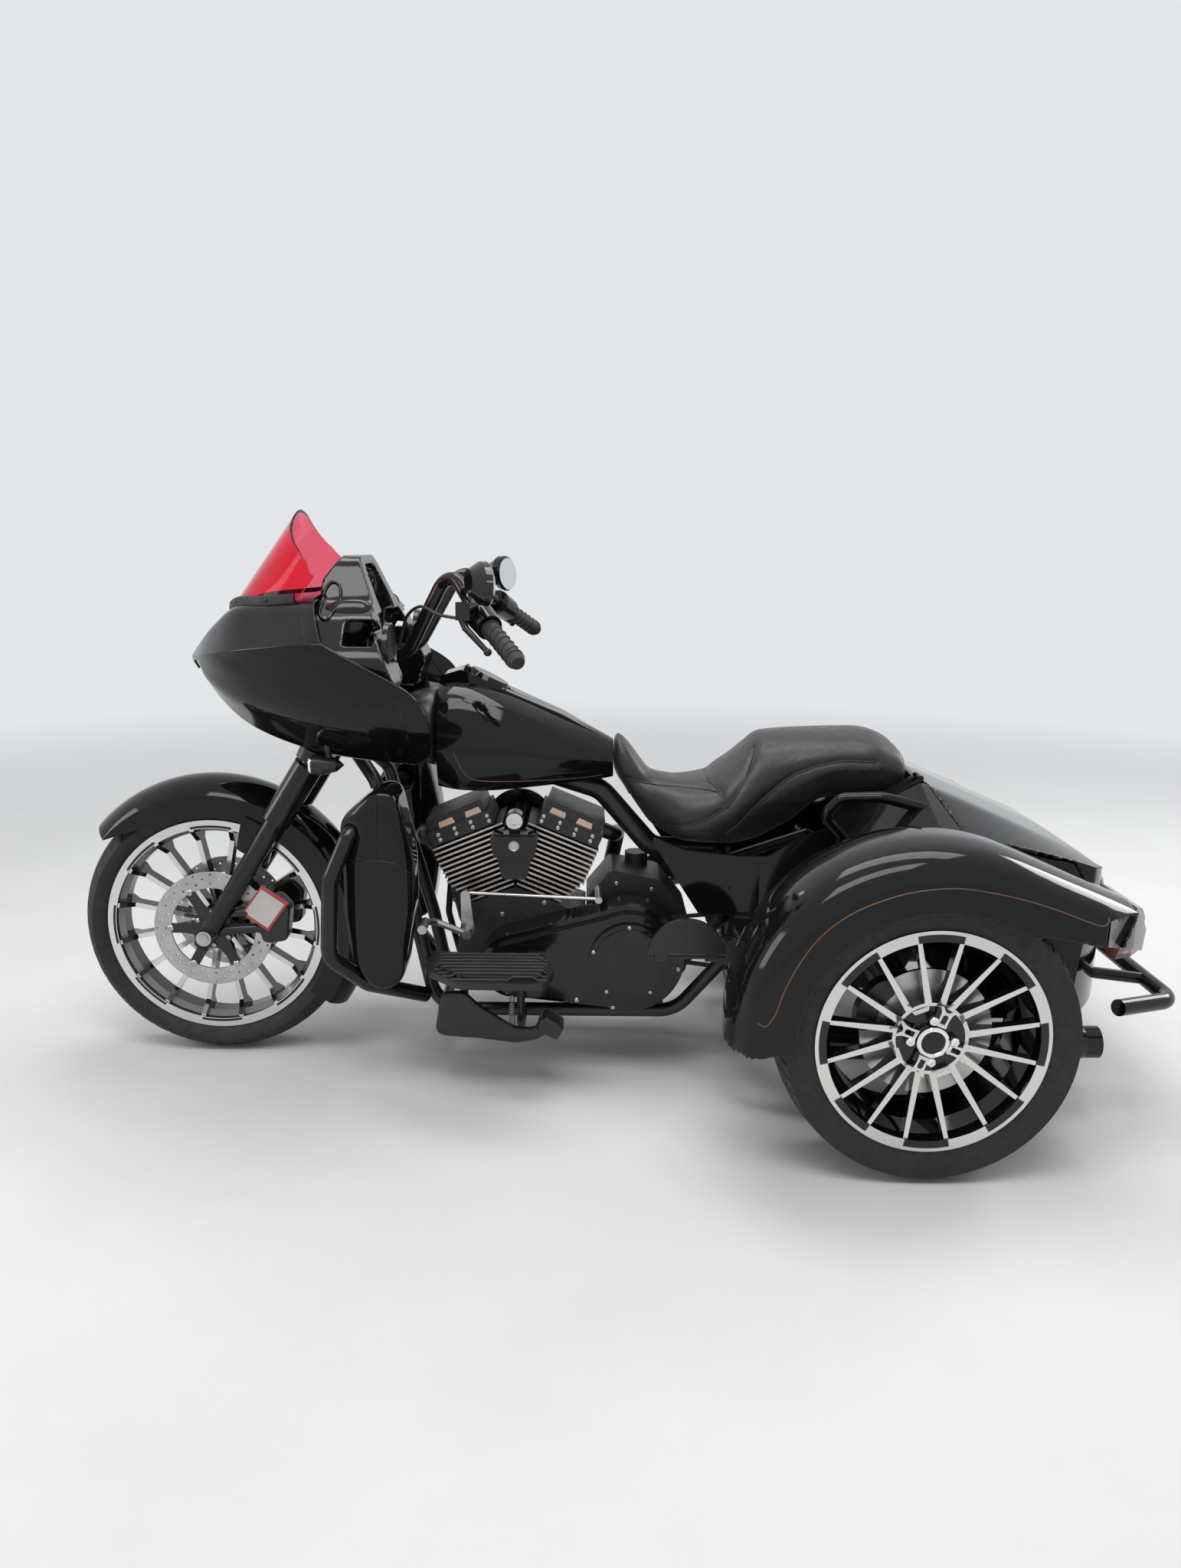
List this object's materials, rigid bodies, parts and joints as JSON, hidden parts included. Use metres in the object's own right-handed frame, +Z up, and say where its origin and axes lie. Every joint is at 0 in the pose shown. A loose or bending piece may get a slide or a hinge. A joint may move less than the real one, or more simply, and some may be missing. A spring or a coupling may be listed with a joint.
{
  "type": "motorized trike",
  "caption": "Touring motor trike with one steered front wheel, a V-twin, a frame-mounted fairing with a short tinted windshield, a two-up seat and two wheels beside a car-like trunk body.",
  "frame": {"origin": "on the ground, under the middle of the machine's outer box", "axes": "+X forward, +Y the rider's left, +Z up"},
  "size_m": [2.6698, 1.388, 1.3921],
  "materials": {
    "gloss_black": "gloss",
    "satin_black": "satin",
    "machined": "satin",
    "tyre": "matt",
    "steel": "brushed",
    "seat": "satin",
    "tint": "clear",
    "black_plastic": "matt",
    "rubber": "matt",
    "smoke_lens": "clear"
  },
  "bodies": {
    "chassis": {"turn_signals": "satin_black", "fairing_shell": "gloss_black", "headlamps": "smoke_lens", "fairing_dash": "black_plastic", "windshield": "tint", "fuel_tank": "gloss_black", "tank_console": "gloss_black", "seat": "seat", "side_covers": "gloss_black", "crankcase": "satin_black", "cylinders": "satin_black", "rocker_covers": "satin_black", "transmission": "satin_black", "primary_cover": "gloss_black", "derby_cover": "gloss_black", "horn_cover": "gloss_black", "air_cleaner": "gloss_black", "pushrod_tubes": "satin_black", "frame": "satin_black", "engine_guard": "gloss_black", "lower_fairings": "gloss_black", "footboards": "satin_black", "exhaust_pipes": "satin_black", "mufflers": "gloss_black", "swing_axle": "satin_black", "drive_belt": "rubber", "shift_lever": "steel", "brake_pedal": "satin_black", "parking_pedal": "satin_black", "pillion_brackets": "satin_black", "rear_body": "gloss_black", "rear_fender_left": "gloss_black", "rear_fender_right": "gloss_black", "tail_lamps": "smoke_lens", "rear_bumper": "gloss_black", "plate_bracket": "satin_black", "grab_handles": "gloss_black"},
    "steering": {"fork_legs": "satin_black", "front_axle": "steel", "yokes": "satin_black", "handlebar": "satin_black", "grips": "rubber", "hand_controls": "satin_black", "mirrors": "satin_black", "front_fender": "gloss_black", "front_calipers": "satin_black"},
    "front_wheel": {"front_tyre": "tyre", "front_rim": "machined", "front_discs": "steel"},
    "rear_wheel_left": {"rear_tyre_left": "tyre", "rear_rim_left": "machined", "rear_disc_left": "steel"},
    "rear_wheel_right": {"rear_tyre_right": "tyre", "rear_rim_right": "machined", "rear_disc_right": "steel"},
    "trunk_lid": {"trunk_lid": "gloss_black"},
    "filler_lid": {"filler_lid": "gloss_black"},
    "pillion_board_left": {"pillion_board_left": "satin_black"},
    "pillion_board_right": {"pillion_board_right": "satin_black"}
  },
  "joints": [
    {"name": "steering", "type": "hinge", "parent": "chassis", "child": "steering", "pos_m": [1.09, 0, 0], "axis": [-0.4384, 0, 0.8988], "range_deg": [-28, 28]},
    {"name": "front_wheel_spin", "type": "hinge", "parent": "steering", "child": "front_wheel", "pos_m": [0.99, 0, 0.345], "axis": [0, 1, 0], "continuous": true},
    {"name": "rear_wheel_left_spin", "type": "hinge", "parent": "chassis", "child": "rear_wheel_left", "pos_m": [-0.68, 0.565, 0.32], "axis": [0, 1, 0], "continuous": true},
    {"name": "rear_wheel_right_spin", "type": "hinge", "parent": "chassis", "child": "rear_wheel_right", "pos_m": [-0.68, -0.565, 0.32], "axis": [0, 1, 0], "continuous": true},
    {"name": "trunk_lid_hinge", "type": "hinge", "parent": "chassis", "child": "trunk_lid", "pos_m": [-0.747, 0, 0.784], "axis": [0, 1, 0], "range_deg": [0, 65]},
    {"name": "filler_lid_hinge", "type": "hinge", "parent": "chassis", "child": "filler_lid", "pos_m": [0.34019, 0, 1.01273], "axis": [0, 1, 0], "range_deg": [0, 75]},
    {"name": "pillion_board_left_fold", "type": "hinge", "parent": "chassis", "child": "pillion_board_left", "pos_m": [-0.199, 0.3, 0.366], "axis": [-1, 0, 0], "range_deg": [0, 90]},
    {"name": "pillion_board_right_fold", "type": "hinge", "parent": "chassis", "child": "pillion_board_right", "pos_m": [-0.199, -0.3, 0.366], "axis": [1, 0, 0], "range_deg": [0, 90]}
  ]
}
